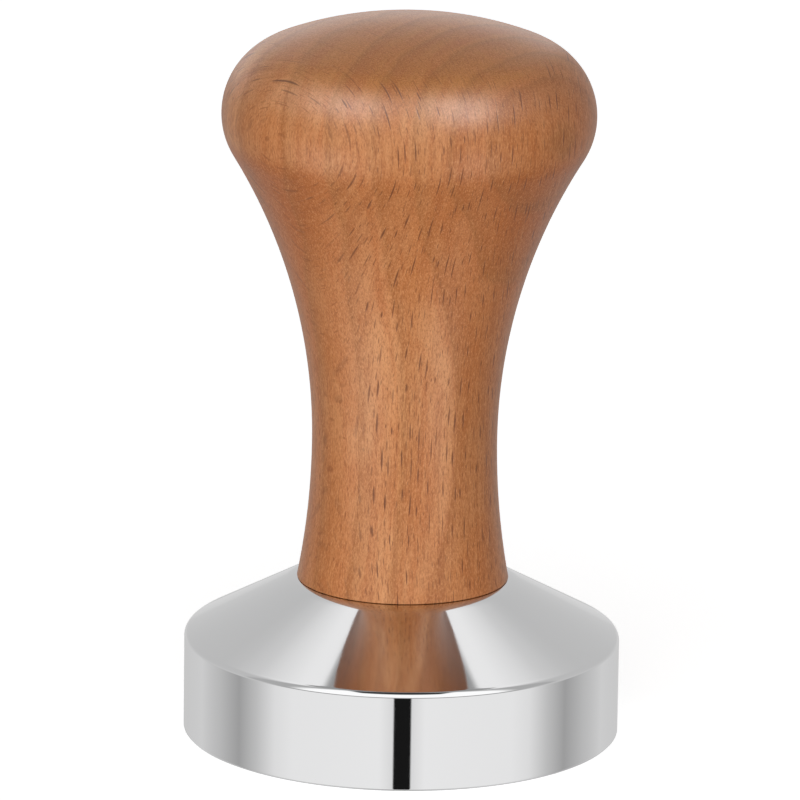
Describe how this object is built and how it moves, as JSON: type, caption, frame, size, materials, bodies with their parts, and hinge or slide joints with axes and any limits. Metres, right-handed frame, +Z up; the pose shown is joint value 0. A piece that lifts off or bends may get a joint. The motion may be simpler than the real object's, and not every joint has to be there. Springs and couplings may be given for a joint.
{
  "type": "espresso tamper",
  "caption": "Hand tamper for ground coffee: a waisted turned wooden knob screwed onto a heavy round steel base with a flat working face.",
  "frame": {"origin": "centre of the flat working face under the base, on the axis", "axes": "+Z up along the handle's axis, from the working face to the knob; the object is round about Z, so X and Y are free"},
  "size_m": [0.051, 0.051, 0.0852],
  "materials": {
    "base": "polished",
    "stud": "satin",
    "thrust_washer": "satin",
    "handle_insert": "satin",
    "handle": "satin"
  },
  "bodies": {
    "base": {"base": "base", "stud": "stud"},
    "washer": {"thrust_washer": "thrust_washer"},
    "handle": {"handle": "handle", "handle_insert": "handle_insert"}
  },
  "joints": [
    {"name": "handle_lift", "type": "slide", "parent": "base", "child": "washer", "axis": [0, 0, 1], "range_m": [0, 0.0126]},
    {"name": "handle_turn", "type": "hinge", "parent": "washer", "child": "handle", "pos_m": [0, 0, 0.0186], "axis": [0, 0, 1], "range_deg": [0, 3600]}
  ],
  "couplings": [
    {"joint": "handle_lift", "follows": "handle_turn", "m_per_rad": 0.00019894}
  ]
}
